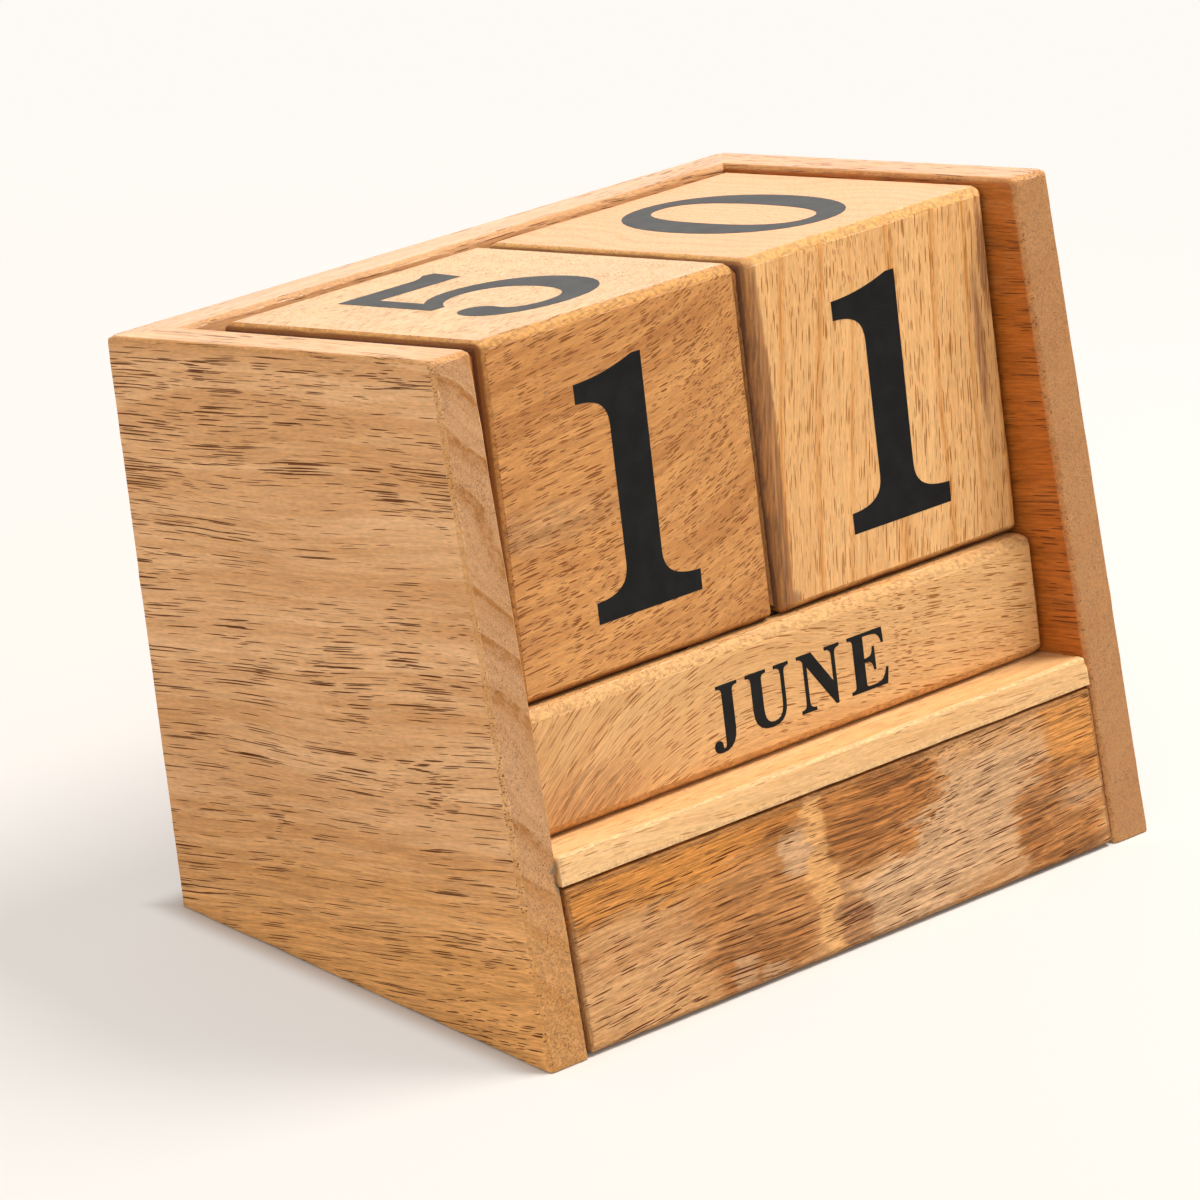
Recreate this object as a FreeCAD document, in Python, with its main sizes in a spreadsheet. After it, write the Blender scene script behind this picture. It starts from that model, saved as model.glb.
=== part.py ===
import FreeCAD, Part
import Sketcher
import os

# Desk calendar with drawer: a wooden case that leans back, two day cubes, three month bars
# and a wedge-shaped drawer under the shelf.  Millimetres.  +X is the right-hand side, the
# front faces -Y and +Z is up; the origin is under the middle of the case, on the desk.
#
# The case is built square and leans back as a whole, so its boards and the loose blocks are
# drawn in leaning bodies: their own Y runs to the rear along the shelf and their own Z runs
# up along the back.  The drawer and its base board are level and are drawn in level bodies.
# Both kinds are measured from the toe, where the sides' front edge meets the desk.

# ------------------------------------------------------------------ driving dimensions

DIMENSIONS = [
    ("lean_angle", 12.8, "degrees that the whole case leans back"),
    ("front_draft", 3.6, "degrees that the front edges lean back more than the case"),
    ("board_thickness", 7.6, "both side panels and the back panel"),
    ("board_ease", 0.7, "rounding of the boards' edges"),
    ("shelf_height", 27.6, "toe to the shelf's top face, along the back"),
    ("shelf_thickness", 4.2, "shelf board"),
    ("shelf_ledge", 8.5, "toe to the front bar, along the shelf"),
    ("rim_height", 0.8, "cubes' tops to the case's top edge"),
    ("base_thickness", 3.0, "level base board under the drawer"),
    ("cube_edge", 50.0, "day cubes"),
    ("cube_ease", 1.3, "rounding of the cubes' edges"),
    ("cube_left_gap", 5.8, "left panel to the tens cube"),
    ("cube_middle_gap", 1.0, "between the two cubes"),
    ("cube_right_gap", 0.5, "units cube to the right panel"),
    ("cube_rear_gap", 0.9, "cubes to the back panel"),
    ("bar_section", 17.6, "square month bars"),
    ("bar_ease", 1.6, "rounding of the bars' edges"),
    ("bar_end_gap", 0.4, "bars' ends to the side panels"),
    ("bar_gap", 0.2, "between bars, and rear bar to the back panel"),
    ("seat_gap", 0.1, "under and over the bars"),
    ("drawer_seam", 0.35, "drawer front to the case around it"),
    ("drawer_floor_gap", 0.5, "drawer front to the desk"),
    ("front_thickness", 8.0, "drawer front board"),
    ("drawer_wall", 3.0, "drawer sides and back"),
    ("drawer_bottom_thickness", 2.0, "drawer bottom"),
    ("drawer_run_gap", 0.2, "drawer bottom to the base board"),
    ("drawer_side_gap", 0.8, "drawer box to the side panels"),
    ("drawer_head_gap", 0.8, "drawer box to the shelf"),
    ("drawer_rear_gap", 5.0, "drawer box to the back panel"),
    ("groove_radius", 4.5, "finger groove under the drawer front"),
    ("groove_width", 40.0, "finger groove, side to side"),
]

# Sizes that follow from the ones above.
DERIVED = [
    ("tan_lean", "tan(sizes.lean_angle * 1 deg)"),
    ("cos_lean", "cos(sizes.lean_angle * 1 deg)"),
    ("sin_lean", "sin(sizes.lean_angle * 1 deg)"),
    ("tan_draft", "tan(sizes.front_draft * 1 deg)"),
    ("tan_front", "tan((sizes.lean_angle + sizes.front_draft) * 1 deg)"),
    ("cos_front", "cos((sizes.lean_angle + sizes.front_draft) * 1 deg)"),
    # the case holds two cubes side by side on three bars, one behind the other
    ("inner_width", "sizes.cube_left_gap + sizes.cube_middle_gap + sizes.cube_right_gap"
                    " + 2 * sizes.cube_edge"),
    ("case_width", "derived.inner_width + 2 * sizes.board_thickness"),
    ("bar_pitch", "sizes.bar_section + sizes.bar_gap"),
    ("inner_rear", "sizes.shelf_ledge + 3 * derived.bar_pitch"),
    ("case_depth", "derived.inner_rear + sizes.board_thickness"),
    ("bar_seat", "sizes.shelf_height + sizes.seat_gap"),
    ("cube_seat", "derived.bar_seat + sizes.bar_section + sizes.seat_gap"),
    ("case_height", "derived.cube_seat + sizes.cube_edge + sizes.rim_height"),
    # level reach of the case, toe to its rounded top rear edge, which the origin halves
    ("case_reach", "derived.case_depth * derived.cos_lean + derived.case_height * derived.sin_lean"
                   " - sizes.board_ease * (derived.cos_lean + derived.sin_lean - 1)"),
    ("toe_y", "-derived.case_reach / 2"),
    ("shelf_under", "sizes.shelf_height - sizes.shelf_thickness"),
    # loose blocks
    ("bar_length", "derived.inner_width - 2 * sizes.bar_end_gap"),
    ("cube_front", "derived.inner_rear - sizes.cube_rear_gap - sizes.cube_edge"),
    ("tens_cube_x", "sizes.cube_left_gap - derived.inner_width / 2"),
    ("units_cube_x", "derived.tens_cube_x + sizes.cube_edge + sizes.cube_middle_gap"),
    # drawer: front_run is the level way through the slanted front board, and the ceilings are
    # the heights over the toe of the sloping planes that the drawer stays under
    ("front_run", "sizes.front_thickness / derived.cos_front"),
    ("front_ceiling", "(derived.shelf_under - sizes.drawer_seam) / derived.cos_lean"),
    ("box_ceiling", "(derived.shelf_under - sizes.drawer_head_gap) / derived.cos_lean"),
    ("slope_sum", "1 + derived.tan_front * derived.tan_lean"),
    ("front_top", "derived.front_ceiling / derived.slope_sum"),
    ("front_top_rear", "(derived.front_ceiling - derived.front_run * derived.tan_lean) / derived.slope_sum"),
    ("box_top_front", "(derived.box_ceiling - derived.front_run * derived.tan_lean) / derived.slope_sum"),
    ("drawer_under", "sizes.base_thickness + sizes.drawer_run_gap"),
    ("drawer_floor", "derived.drawer_under + sizes.drawer_bottom_thickness"),
    ("drawer_rear", "derived.inner_rear / derived.cos_lean + derived.drawer_under * derived.tan_lean"
                    " - sizes.drawer_rear_gap"),
    ("drawer_width", "derived.inner_width - 2 * sizes.drawer_side_gap"),
    ("front_width", "derived.inner_width - 2 * sizes.drawer_seam"),
]

XY, YZ = "XY_Plane", "YZ_Plane"
TOUCH = 0.001

doc = FreeCAD.newDocument("desk_calendar")

sizes = doc.addObject("Spreadsheet::Sheet", "sizes")
for row, (alias, value, note) in enumerate(DIMENSIONS, start=1):
    sizes.set("A%d" % row, alias)
    sizes.set("B%d" % row, str(value))
    sizes.set("C%d" % row, note)
    sizes.setAlias("B%d" % row, alias)
doc.recompute()

derived = doc.addObject("App::VarSet", "derived")
for name, formula in DERIVED:
    derived.addProperty("App::PropertyFloat", name)
    derived.setExpression(name, formula)
    doc.recompute()

nodes = []


# --------------------------------------------------------------------- drawing helpers

def number(formula):
    """The present value of a formula, to start a sketch point at its place."""
    value = doc.sizes.evalExpression(formula)
    return float(getattr(value, "Value", value))


def start_body(name, leaning, x_formula="0"):
    """A body measured from the toe, leaning back with the case or level with the desk."""
    body = doc.addObject("PartDesign::Body", name)
    body.Label = name
    body.setExpression("Placement.Base.x", x_formula)
    body.setExpression("Placement.Base.y", "derived.toe_y")
    if leaning:
        about_x = FreeCAD.Rotation(FreeCAD.Vector(-1, 0, 0), number("sizes.lean_angle"))
        body.Placement = FreeCAD.Placement(FreeCAD.Vector(), about_x)
        body.setExpression("Placement.Rotation.Angle", "sizes.lean_angle")
    nodes.append(body)
    return body


def new_sketch(body, role):
    """An empty sketch on one of the body's origin planes."""
    sketch = body.newObject("Sketcher::SketchObject", body.Name + "_sketch")
    plane = next(item for item in body.Origin.OriginFeatures if item.Role == role)
    sketch.AttachmentSupport = [(plane, "")]
    sketch.MapMode = "FlatFace"
    return sketch


def bind(sketch, constraint, formula):
    """Add a constraint whose value follows a formula."""
    index = sketch.addConstraint(constraint)
    word = "size_%d" % index
    sketch.renameConstraint(index, word)
    sketch.setExpression("Constraints." + word, formula)


def pin_point(sketch, geometry, end, across, up):
    """Hold a point of a sketch at two formulas, measured from the sketch's origin."""
    for kind, axis, formula in (("DistanceX", -2, across), ("DistanceY", -1, up)):
        if formula == "0":
            sketch.addConstraint(Sketcher.Constraint("PointOnObject", geometry, end, axis))
        else:
            bind(sketch, Sketcher.Constraint(kind, -1, 1, geometry, end, number(formula)), formula)


def outline(body, role, corners):
    """A closed straight-sided outline; each corner is a pair of formulas."""
    sketch = new_sketch(body, role)
    points = [FreeCAD.Vector(number(across), number(up), 0) for across, up in corners]
    following = points[1:] + points[:1]
    for start, end in zip(points, following):
        sketch.addGeometry(Part.LineSegment(start, end), False)
    for index in range(len(points)):
        after = (index + 1) % len(points)
        sketch.addConstraint(Sketcher.Constraint("Coincident", index, 2, after, 1))
    for index, (across, up) in enumerate(corners):
        pin_point(sketch, index, 1, across, up)
    return sketch


def circle(body, role, across, up, radius):
    """A circle whose centre and radius follow formulas."""
    sketch = new_sketch(body, role)
    centre = FreeCAD.Vector(number(across), number(up), 0)
    sketch.addGeometry(Part.Circle(centre, FreeCAD.Vector(0, 0, 1), number(radius)), False)
    pin_point(sketch, 0, 3, across, up)
    bind(sketch, Sketcher.Constraint("Radius", 0, number(radius)), radius)
    return sketch


def pad(body, sketch, length, side="Symmetric", backwards=False):
    """Give a sketch its thickness."""
    feature = body.newObject("PartDesign::Pad", body.Name + "_pad")
    feature.Profile = sketch
    feature.SideType = side
    feature.Reversed = backwards
    feature.setExpression("Length", length)
    doc.recompute()


def cut(body, sketch, length=None):
    """Cut a sketch out to both sides of its plane: right through, or over a length."""
    before = body.Shape.Volume
    feature = body.newObject("PartDesign::Pocket", body.Name + "_cut")
    feature.Profile = sketch
    feature.SideType = "Symmetric"
    if length is None:
        feature.Type = "ThroughAll"
    else:
        feature.setExpression("Length", length)
    doc.recompute()
    if body.Shape.Volume > before - TOUCH:
        raise RuntimeError(body.Name + ": a cut removed nothing")


def ease(body, radius, stays_sharp=None):
    """Round the edges of the body's last feature, but those that stay sharp."""
    base = body.Tip
    names = []
    for index, edge in enumerate(base.Shape.Edges, start=1):
        if stays_sharp is None or not stays_sharp(edge):
            names.append("Edge%d" % index)
    feature = body.newObject("PartDesign::Fillet", body.Name + "_ease")
    feature.Base = (base, names)
    feature.setExpression("Radius", radius)
    doc.recompute()


def on_foot(edge):
    """Whether an edge of a leaning board lies in its level foot."""
    slope = number("derived.tan_lean")
    return all(abs(vertex.Z - vertex.Y * slope) < TOUCH for vertex in edge.Vertexes)


# -------------------------------------------------------------------------------- case

def side_panel(name, inward, x_formula):
    """A side panel: level foot, slanted front edge, and a mitre at the rear.

    inward is the sign of the way from its outer face to the inside of the case."""
    body = start_body(name, True, x_formula)
    profile = outline(body, YZ, [
        ("0", "0"),
        ("derived.case_depth", "derived.case_depth * derived.tan_lean"),
        ("derived.case_depth", "derived.case_height"),
        ("derived.case_height * derived.tan_draft", "derived.case_height"),
    ])
    pad(body, profile, "sizes.board_thickness", "One side", backwards=inward == "-")
    ease(body, "sizes.board_ease", on_foot)
    inner_face = inward + "sizes.board_thickness"
    mitre = outline(body, XY, [
        ("0", "derived.case_depth"),
        (inner_face, "derived.case_depth"),
        (inner_face, "derived.inner_rear"),
    ])
    cut(body, mitre)


def back_panel():
    """The back panel, mitred to both side panels."""
    body = start_body("back_panel", True)
    profile = outline(body, YZ, [
        ("derived.inner_rear", "derived.inner_rear * derived.tan_lean"),
        ("derived.case_depth", "derived.case_depth * derived.tan_lean"),
        ("derived.case_depth", "derived.case_height"),
        ("derived.inner_rear", "derived.case_height"),
    ])
    pad(body, profile, "derived.case_width")
    ease(body, "sizes.board_ease", on_foot)
    for sign in ("-", ""):
        outer_face = sign + "derived.case_width / 2"
        inner_face = sign + "derived.inner_width / 2"
        mitre = outline(body, XY, [
            (outer_face, "derived.case_depth"),
            (outer_face, "derived.inner_rear"),
            (inner_face, "derived.inner_rear"),
        ])
        cut(body, mitre)


def shelf():
    """The shelf that carries the month bars, its front edge flush with the slanted front."""
    body = start_body("shelf", True)
    profile = outline(body, YZ, [
        ("derived.shelf_under * derived.tan_draft", "derived.shelf_under"),
        ("derived.inner_rear", "derived.shelf_under"),
        ("derived.inner_rear", "sizes.shelf_height"),
        ("sizes.shelf_height * derived.tan_draft", "sizes.shelf_height"),
    ])
    pad(body, profile, "derived.inner_width")


def base_board():
    """The level board that the drawer runs on, from behind its front to the back panel."""
    body = start_body("base_board", False)
    front = "derived.front_run + sizes.drawer_seam"
    rear = "derived.inner_rear / derived.cos_lean"
    profile = outline(body, YZ, [
        (front, "0"),
        (rear, "0"),
        (rear + " + sizes.base_thickness * derived.tan_lean", "sizes.base_thickness"),
        (front + " + sizes.base_thickness * derived.tan_front", "sizes.base_thickness"),
    ])
    pad(body, profile, "derived.inner_width")


# ------------------------------------------------------------------------------ drawer

def drawer_front():
    """The drawer front: flush with the slanted front, with a finger groove underneath."""
    body = start_body("drawer_front", False)
    toe = "sizes.drawer_floor_gap * derived.tan_front"
    heel = toe + " + derived.front_run"
    profile = outline(body, YZ, [
        (toe, "sizes.drawer_floor_gap"),
        (heel, "sizes.drawer_floor_gap"),
        ("derived.front_top_rear * derived.tan_front + derived.front_run", "derived.front_top_rear"),
        ("derived.front_top * derived.tan_front", "derived.front_top"),
    ])
    pad(body, profile, "derived.front_width")
    groove = circle(body, YZ, heel, "sizes.drawer_floor_gap", "sizes.groove_radius")
    cut(body, groove, "sizes.groove_width")


def behind_front(height):
    """Where the drawer front's rear face is at a height over the desk."""
    return "derived.front_run + %s * derived.tan_front" % height


def under_shelf(place):
    """The drawer box's top at a place behind the toe, where it follows the shelf's slope."""
    return "derived.box_ceiling - (%s) * derived.tan_lean" % place


def drawer_bottom():
    """The drawer's bottom, which slides on the base board and carries the sides and back."""
    body = start_body("drawer_bottom", False)
    profile = outline(body, YZ, [
        (behind_front("derived.drawer_under"), "derived.drawer_under"),
        ("derived.drawer_rear", "derived.drawer_under"),
        ("derived.drawer_rear", "derived.drawer_floor"),
        (behind_front("derived.drawer_floor"), "derived.drawer_floor"),
    ])
    pad(body, profile, "derived.drawer_width")


def drawer_side(name, x_formula, backwards):
    """A drawer side, tapered to the rear under the sloping shelf."""
    body = start_body(name, False, x_formula)
    profile = outline(body, YZ, [
        (behind_front("derived.drawer_floor"), "derived.drawer_floor"),
        ("derived.drawer_rear", "derived.drawer_floor"),
        ("derived.drawer_rear", under_shelf("derived.drawer_rear")),
        (behind_front("derived.box_top_front"), "derived.box_top_front"),
    ])
    pad(body, profile, "sizes.drawer_wall", "One side", backwards)


def drawer_back():
    """The low back of the drawer, between its sides."""
    body = start_body("drawer_back", False)
    inside = "derived.drawer_rear - sizes.drawer_wall"
    profile = outline(body, YZ, [
        (inside, "derived.drawer_floor"),
        ("derived.drawer_rear", "derived.drawer_floor"),
        ("derived.drawer_rear", under_shelf("derived.drawer_rear")),
        (inside, under_shelf(inside)),
    ])
    pad(body, profile, "derived.drawer_width - 2 * sizes.drawer_wall")


# ------------------------------------------------------------------------ loose blocks

def block(name, x_formula, front, seat, section, length, rounding):
    """A loose block with a square section, standing on its seat, rounded all over."""
    body = start_body(name, True, x_formula)
    profile = outline(body, YZ, [
        (front, seat),
        (front + " + " + section, seat),
        (front + " + " + section, seat + " + " + section),
        (front, seat + " + " + section),
    ])
    pad(body, profile, length, "One side")
    ease(body, rounding)


def day_cube(name, x_formula):
    block(name, x_formula, "derived.cube_front", "derived.cube_seat",
          "sizes.cube_edge", "sizes.cube_edge", "sizes.cube_ease")


def month_bar(name, places_from_back):
    front = "derived.inner_rear - %d * derived.bar_pitch" % places_from_back
    block(name, "-derived.bar_length / 2", front, "derived.bar_seat",
          "sizes.bar_section", "derived.bar_length", "sizes.bar_ease")


# ---------------------------------------------------------------------------- assembly

side_panel("left_side_panel", "", "-derived.case_width / 2")
side_panel("right_side_panel", "-", "derived.case_width / 2")
back_panel()
shelf()
base_board()

drawer_front()
drawer_bottom()
drawer_side("drawer_left_side", "-derived.drawer_width / 2", False)
drawer_side("drawer_right_side", "derived.drawer_width / 2", True)
drawer_back()

day_cube("day_cube_tens", "derived.tens_cube_x")
day_cube("day_cube_units", "derived.units_cube_x")
for places, name in enumerate(("month_bar_rear", "month_bar_middle", "month_bar_front"), start=1):
    month_bar(name, places)

doc.recompute()
for item in doc.Objects:
    if "Invalid" in item.State or "Error" in item.State:
        raise RuntimeError(item.Name + ": " + ", ".join(item.State))
for body in nodes:
    if body.Shape.isNull() or not body.Shape.isValid() or len(body.Shape.Solids) != 1:
        raise RuntimeError(body.Label + ": not one valid solid")

os.makedirs("parts", exist_ok=True)
for body in nodes:
    body.Shape.exportStep(os.path.join("parts", body.Label + ".step"))
    box = body.Shape.BoundBox
    print("%-18s volume %9.1f  x %7.2f %7.2f  y %7.2f %7.2f  z %7.2f %7.2f" % (
        body.Label, body.Shape.Volume, box.XMin, box.XMax, box.YMin, box.YMax, box.ZMin, box.ZMax))
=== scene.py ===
# %% [markdown]
# # A desk calendar with a drawer
# The object is a small wooden case that leans back.  Two day cubes and three month bars
# stand loose on its shelf, and a wedge-shaped drawer slides out under them.  The packed
# model gives the frame: every board has its place there, and the pieces made below take
# the place of the boards that show, with eased and worn edges, grain and printing.

# %% Load the frame
import math

import bpy
from mathutils import Euler, Matrix, Vector


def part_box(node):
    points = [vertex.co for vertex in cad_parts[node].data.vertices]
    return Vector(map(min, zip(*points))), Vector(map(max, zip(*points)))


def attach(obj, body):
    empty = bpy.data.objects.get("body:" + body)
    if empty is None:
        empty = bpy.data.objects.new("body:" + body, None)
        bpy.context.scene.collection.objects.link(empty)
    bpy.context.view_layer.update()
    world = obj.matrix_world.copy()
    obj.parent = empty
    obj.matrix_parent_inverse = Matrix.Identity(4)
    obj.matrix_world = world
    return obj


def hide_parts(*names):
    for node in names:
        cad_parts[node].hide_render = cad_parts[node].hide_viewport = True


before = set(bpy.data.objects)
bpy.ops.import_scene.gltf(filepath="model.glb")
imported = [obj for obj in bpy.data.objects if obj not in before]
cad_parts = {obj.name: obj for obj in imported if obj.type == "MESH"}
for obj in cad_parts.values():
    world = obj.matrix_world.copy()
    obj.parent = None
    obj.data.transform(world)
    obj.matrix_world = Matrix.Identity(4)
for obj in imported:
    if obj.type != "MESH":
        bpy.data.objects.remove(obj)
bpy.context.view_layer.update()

# %% [markdown]
# ## Two ways to measure
# The maker works square: along the shelf to the rear, and up along the back.  Only the
# whole case leans.  So each piece is drawn square, from the toe where the sides meet the
# desk, and is leant back by the same angle when it is finished.

# %% The maker's sizes, in millimetres
MM = 0.001
LEAN = math.radians(12.8)          # the whole case leans back this much
DRAFT = math.radians(3.6)          # the front edges lean back a little more
TOE = Vector((0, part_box("left_side_panel")[0].y, 0))

BOARD = 7.6                        # side and back boards
CASE_WIDTH, CASE_DEPTH, CASE_HEIGHT = 122.5, 69.5, 96.2
INNER_WIDTH = CASE_WIDTH - 2 * BOARD
INNER_REAR = CASE_DEPTH - BOARD
SHELF_TOP, SHELF_UNDER = 27.6, 23.4
CUBE, BAR = 50.0, 17.6
CUBE_SEAT, CUBE_FRONT = 45.4, 11.0
TENS_LEFT, UNITS_LEFT = -47.85, 3.15
BAR_SEAT, BAR_LENGTH = 27.7, 106.5
BAR_FRONTS = {"front": 8.5, "middle": 26.3, "rear": 44.1}
BOARD_EASE, CUBE_EASE, BAR_EASE = 0.7, 1.3, 1.6
print("the toe is", round(-TOE.y * 1000, 2), "mm in front of the middle")

# %% [markdown]
# ## The camera
# A long lens from the front left and a little above shows the left side, both rows of
# numerals and the drawer.  The camera turns slightly about its own axis.  Its angles are
# written as azimuth, elevation and roll, and a track quaternion turns it to its target.

# %% Place the camera
def place_camera(azimuth, elevation, roll, distance, target, lens):
    bpy.ops.object.camera_add()
    camera = bpy.context.active_object
    camera.name = "camera"
    camera.data.lens = lens
    camera.data.sensor_width = 36.0
    camera.data.clip_start, camera.data.clip_end = 0.05, 50
    a, e = math.radians(azimuth), math.radians(elevation)
    back = Vector((math.sin(a) * math.cos(e), -math.cos(a) * math.cos(e), math.sin(e)))
    turn = back.to_track_quat("Z", "Y").to_matrix().to_4x4()
    camera.matrix_world = (Matrix.Translation(Vector(target) + back * distance) @ turn
                           @ Matrix.Rotation(math.radians(roll), 4, "Z"))
    bpy.context.scene.camera = camera
    print("camera at", [round(v, 3) for v in camera.location])


place_camera(-47.136, 22.039, 2.667, 1.0527, (-0.02382, -0.01447, 0.04846), 233.5)

# %% [markdown]
# ## A short way to write node trees
# A finish is a tree of nodes.  In the editor they are added and wired by hand; here one
# small helper adds a node and takes numbers and sockets alike, so that a finish reads as
# a list of steps.

# %% Node helper
class Tree:
    """Adds nodes to one node tree and links what they are given."""

    def __init__(self, tree):
        self.tree = tree
        tree.nodes.clear()

    def wire(self, socket, value):
        if isinstance(value, bpy.types.NodeSocket):
            self.tree.links.new(value, socket)
        elif isinstance(value, tuple) and socket.type == "RGBA":
            socket.default_value = (value + (1.0,))[:4]
        else:
            socket.default_value = value

    def add(self, kind, settings=(), out=0, **inputs):
        made = self.tree.nodes.new("ShaderNode" + kind)
        for key, value in dict(settings).items():
            setattr(made, key, value)
        for key, value in inputs.items():
            socket = made.inputs[int(key[2:])] if key[:2] == "in" else made.inputs[key.replace("_", " ")]
            self.wire(socket, value)
        return made.outputs[out] if made.outputs else made

    def sum(self, operation, a, b=0.0):
        return self.add("Math", {"operation": operation}, in0=a, in1=b)

    def plus(self, a, b):
        return self.sum("ADD", a, b)

    def minus(self, a, b):
        return self.sum("SUBTRACT", a, b)

    def times(self, a, b):
        return self.sum("MULTIPLY", a, b)

    def vector(self, operation, a, b):
        return self.add("VectorMath", {"operation": operation}, in0=a, in1=b)

    def noise(self, vector, stretch, detail=2.0, out=0):
        place = self.vector("MULTIPLY", vector, stretch)
        return self.add("TexNoise", out=out, Vector=place, Scale=1.0, Detail=detail)

    def step(self, value, low, high):
        return self.add("MapRange", {"interpolation_type": "SMOOTHSTEP"}, Value=value,
                        in1=low, in2=high)

    def mix(self, factor, a, b, blend="MIX"):
        return self.add("Mix", {"data_type": "RGBA", "blend_type": blend}, out=2,
                        in0=factor, in6=a, in7=b)


def start_material(name):
    material = bpy.data.materials.new(name)
    material.use_nodes = True
    return material, Tree(material.node_tree)


# %% [markdown]
# ## Light and floor
# Three soft lamps light the object: a high one on the right, a wide weak one at the front
# left, and a low weak one behind, which skims over the tops and gives them their pale
# sheen.  The sky is white to the camera.  In reflections it is white behind the object and
# dark in front, like a room, so that the ink stays black.  Matt surfaces see a dimmer sky,
# which keeps their colours as they are written.  The floor keeps the object's shadow and
# fades into the white, and only right under the case does it stay unlit.

# %% Lamps
BACKGROUND = (0.985, 0.952, 0.905)
DAYLIGHT = (1.0, 0.97, 0.93)


def soft_lamp(name, place, size, power):
    aim = Vector((0, 0, 0.04)) - Vector(place)
    bpy.ops.object.light_add(type="AREA", location=place, rotation=aim.to_track_quat("-Z", "Y").to_euler())
    lamp = bpy.context.active_object
    lamp.name = name
    lamp.data.size, lamp.data.energy, lamp.data.color = size, power, DAYLIGHT


soft_lamp("key_lamp", (0.55, -0.12, 1.05), 0.5, 16.0)
soft_lamp("front_lamp", (-1.15, -0.75, 0.45), 0.9, 7.0)
soft_lamp("rear_lamp", (0.80, 0.95, 0.32), 0.8, 2.2)
bpy.context.scene.view_settings.view_transform = "Standard"

# %% Sky
world = bpy.data.worlds.new("studio")
bpy.context.scene.world = world
world.use_nodes = True
sky = Tree(world.node_tree)
rays = sky.tree.nodes.new("ShaderNodeLightPath").outputs
seen = sky.sum("MAXIMUM", rays["Is Camera Ray"], rays["Is Glossy Ray"])
seen = sky.sum("MAXIMUM", seen, rays["Is Transmission Ray"])
rearward = sky.add("SeparateXYZ", out=1, Vector=sky.add("TexCoord"))
mirror = sky.mix(sky.step(rearward, -0.35, 0.15), (0.10, 0.095, 0.09), BACKGROUND)
mirror = sky.mix(rays["Is Glossy Ray"], BACKGROUND, mirror)
sky.add("OutputWorld", Surface=sky.add(
    "MixShader", in0=seen,
    in1=sky.add("Background", Color=(1.0, 0.975, 0.945), Strength=0.55),
    in2=sky.add("Background", Color=mirror, Strength=1.0)))

# %% Floor
bpy.ops.object.select_all(action="DESELECT")
bpy.ops.mesh.primitive_plane_add(size=8, location=(0, 0, -0.05 * MM))
floor = bpy.context.active_object
floor.name = "floor"
paper, tree = start_material("floor_paper")
spot = tree.add("TexCoord", out=3)
reach = tree.add("VectorMath", {"operation": "LENGTH"}, out=1, in0=spot)
foot = CASE_DEPTH * MM / math.cos(LEAN) / 2
beyond = tree.vector("SUBTRACT", tree.add("VectorMath", {"operation": "ABSOLUTE"}, in0=tree.vector(
    "SUBTRACT", spot, (0, TOE.y + foot, 0))), (CASE_WIDTH / 2 * MM, foot, 0))
sides = tree.add("SeparateXYZ", Vector=beyond).node.outputs
clear = tree.step(tree.sum("MAXIMUM", sides[0], sides[1]), -0.5 * MM, 5 * MM)
veil = tree.times(tree.plus(tree.step(reach, 0.08, 0.34), clear), 0.5)
rays = tree.tree.nodes.new("ShaderNodeLightPath").outputs
seen = tree.sum("MAXIMUM", rays["Is Camera Ray"], rays["Is Transmission Ray"])
behind = tree.step(tree.add("SeparateXYZ", out=1, Vector=spot), -0.15, 0.05)
seen = tree.sum("MAXIMUM", seen, tree.times(rays["Is Glossy Ray"], behind))
tree.add("OutputMaterial", Surface=tree.add(
    "MixShader", in0=tree.times(seen, veil),
    in1=tree.add("BsdfDiffuse", Color=tree.mix(seen, (0.56, 0.545, 0.52), (0.69, 0.65, 0.615))),
    in2=tree.add("Emission", Color=BACKGROUND, Strength=1.0)))
floor.data.materials.append(paper)

# %% [markdown]
# ## Open-pored wood: where the fibres run
# A pattern painted on a surface would look like printed film.  Wood has its figure all the
# way through, so the pattern is worked out in space: first in the maker's square, then in a
# space whose x axis follows the fibres, which run another way in every board.  Two noises
# let the fibres wander, and a bow turns them out of the plane where a knot was near.

# %% Fibre space
def fibre_space(tree, turn, centre, bow, bow_from, dive):
    """The maker's square, and the fibres' space with its start at centre, both in millimetres."""
    square = tree.add("Mapping", {"vector_type": "TEXTURE"}, Vector=tree.add("TexCoord", out=3), Location=TOE,
                      Rotation=(-LEAN, 0, 0), Scale=(MM, MM, MM))
    along = tree.add("Mapping", {"vector_type": "TEXTURE"}, Vector=square, Location=centre,
                     Rotation=[math.radians(angle) for angle in turn])
    grain = along
    for stretch, detail, reach in (((0.015, 0.035, 0.035), 1.5, 6.0), ((0.16, 0.5, 0.5), 2.0, 0.18)):
        stray = tree.vector("SUBTRACT", tree.noise(along, stretch, detail, out=1), (0.5, 0.5, 0.5))
        grain = tree.vector("ADD", grain, tree.vector("MULTIPLY", stray, (0, reach, reach)))
    if bow:
        run = tree.minus(tree.add("SeparateXYZ", Vector=along), bow_from)
        run = tree.sum("MAXIMUM", tree.times(run, math.copysign(1, bow)), 0.0)
        rise = tree.times(tree.times(run, run), -bow)
        grain = tree.vector("ADD", grain, tree.add("CombineXYZ", Y=tree.times(rise, dive), Z=rise))
    return square, grain


def facing(tree, way, low, high, both=False):
    """1 where the surface looks along a direction of the maker's square."""
    way = Euler((-LEAN, 0, 0)).to_matrix() @ Vector(way)
    normal = tree.add("TexCoord", out=1)
    looks = tree.add("VectorMath", {"operation": "DOT_PRODUCT"}, out=1, in0=normal, in1=way)
    return tree.step(tree.sum("ABSOLUTE", looks) if both else looks, low, high)


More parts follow.
